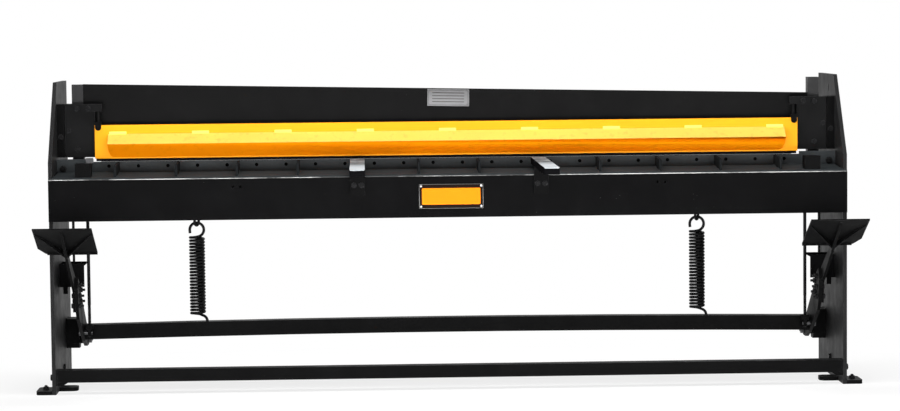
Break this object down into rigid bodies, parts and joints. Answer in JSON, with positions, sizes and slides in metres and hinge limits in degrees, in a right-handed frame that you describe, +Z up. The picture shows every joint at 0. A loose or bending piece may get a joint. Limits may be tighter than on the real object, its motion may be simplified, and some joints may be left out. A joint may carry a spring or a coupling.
{
  "type": "treadle guillotine shear",
  "caption": "Foot-operated guillotine shear for sheet metal: side plates, table with fixed blade, raked beam with moving blade, yellow guard and a sprung treadle",
  "frame": {"origin": "middle of the ground that the machine covers, on the floor", "axes": "+X along the blades to the operator's right, +Y from the operator to the back, +Z up"},
  "size_m": [2.99, 1.113, 1.12],
  "materials": {
    "charcoal_paint": "semi-gloss",
    "bright_steel": "ground",
    "black_oxide": "satin",
    "guard_yellow": "gloss",
    "label_yellow": "satin",
    "bare_aluminium": "satin"
  },
  "bodies": {
    "frame": {"apron": "charcoal_paint", "arm_bolts": "black_oxide", "arm_brackets": "charcoal_paint", "base_stretcher": "charcoal_paint", "foot_lugs": "charcoal_paint", "gib_strips": "charcoal_paint", "guide_blocks": "charcoal_paint", "guide_bolts": "black_oxide", "guide_covers": "charcoal_paint", "guide_keepers": "charcoal_paint", "guide_liners": "bright_steel", "hanger_lugs": "charcoal_paint", "left_return_spring": "black_oxide", "left_side_plate": "charcoal_paint", "levelling_studs": "black_oxide", "lower_blade": "bright_steel", "lower_blade_screws": "black_oxide", "name_plate": "label_yellow", "pivot_blocks": "charcoal_paint", "pivot_collars": "bright_steel", "pivot_pins": "bright_steel", "rear_cross_member": "charcoal_paint", "right_return_spring": "black_oxide", "right_side_plate": "charcoal_paint", "side_gauge_pad": "bright_steel", "spring_eye_bolts": "black_oxide", "spring_eye_nuts": "black_oxide", "stop_brackets": "charcoal_paint", "stretcher_bolts": "black_oxide", "stretcher_end_plates": "charcoal_paint", "support_arms": "bright_steel", "table_bar": "charcoal_paint", "table_bolts": "black_oxide", "table_end_blocks": "charcoal_paint", "table_end_brackets": "charcoal_paint", "table_end_rails": "charcoal_paint", "table_gussets": "charcoal_paint"},
    "treadle": {"treadle_bar": "charcoal_paint", "treadle_levers": "charcoal_paint", "pedal_arms": "charcoal_paint", "pedals": "charcoal_paint", "clamp_bolts": "black_oxide"},
    "beam": {"blade_beam": "charcoal_paint", "beam_flange": "charcoal_paint", "beam_ribs": "charcoal_paint", "beam_data_plate": "bare_aluminium", "upper_blade": "bright_steel", "upper_blade_screws": "black_oxide", "slides": "charcoal_paint", "crossheads": "charcoal_paint", "pull_rods": "black_oxide", "rod_ends": "charcoal_paint", "rod_pins": "bright_steel", "stop_rods": "black_oxide", "rod_nuts": "black_oxide"},
    "hold_down": {"hold_down_bar": "charcoal_paint", "guard_plate": "guard_yellow", "guard_lip": "guard_yellow", "hanger_blocks": "charcoal_paint", "hanger_rods": "black_oxide"}
  },
  "joints": [
    {"name": "beam_slide", "type": "slide", "parent": "frame", "child": "beam", "axis": [0, 0, -1], "range_m": [0, 0.07006], "stiffness_N_per_m": 7200, "springref_m": -0.24},
    {"name": "treadle_hinge", "type": "hinge", "parent": "frame", "child": "treadle", "pos_m": [0, 0.4235, 0.162], "axis": [1, 0, 0], "range_deg": [0, 25], "deforming": ["left_return_spring", "right_return_spring"]},
    {"name": "hold_down_slide", "type": "slide", "parent": "frame", "child": "hold_down", "axis": [0, 0, -1], "range_m": [0, 0.0015]}
  ],
  "couplings": [
    {"joint": "treadle_hinge", "follows": "beam_slide", "rad_per_m": 6.2279},
    {"joint": "hold_down_slide", "follows": "beam_slide", "ratio": 0.02141}
  ]
}
